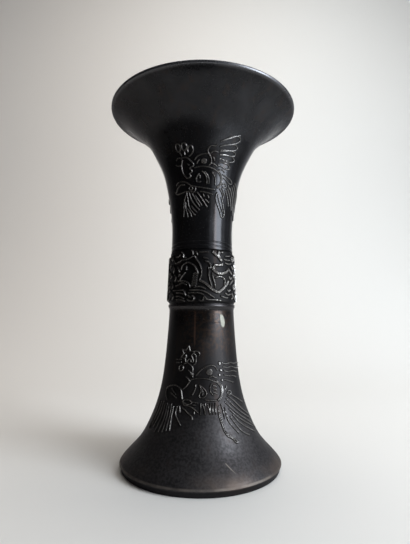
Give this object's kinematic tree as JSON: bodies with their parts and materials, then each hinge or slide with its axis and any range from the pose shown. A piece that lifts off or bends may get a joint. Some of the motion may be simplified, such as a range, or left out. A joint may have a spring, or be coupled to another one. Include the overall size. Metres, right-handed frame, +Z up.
{
  "type": "bronze gu vase",
  "caption": "Tall trumpet-mouthed bronze vase in the gu shape: flared mouth and hollow foot, scroll-relief band between, raised phoenixes on the walls; stands free and holds stems or water.",
  "frame": {"origin": "centre of the foot's resting ring, on the surface that the vessel stands on", "axes": "+Z up along the vessel's axis, towards the mouth; -Y is the front, with the head of the upper phoenix left of it"},
  "size_m": [0.1512, 0.1512, 0.2808],
  "materials": {
    "bronze": "satin, near-black patina with a thin wax",
    "bronze_band": "satin, near-black patina, brown on the raised scrolls",
    "bronze_foot": "matte, near-black patina, worn brown along the edge",
    "bronze_inside": "matte, dark",
    "bronze_relief": "satin, patina worn lighter on the raised lines",
    "plug": "matte, pale cream-grey white metal",
    "solder": "dull grey tin solder"
  },
  "bodies": {
    "root": {"mouth_trumpet": "bronze", "central_band": "bronze_band", "foot_trumpet": "bronze_foot", "floor_plate": "bronze_inside", "upper_phoenix_front": "bronze_relief", "upper_phoenix_back": "bronze_relief", "lower_phoenix_front": "bronze_relief", "lower_phoenix_back": "bronze_relief", "core_plug": "plug", "upper_joint_solder": "solder", "lower_joint_solder": "solder", "floor_solder": "solder"}
  },
  "joints": []
}
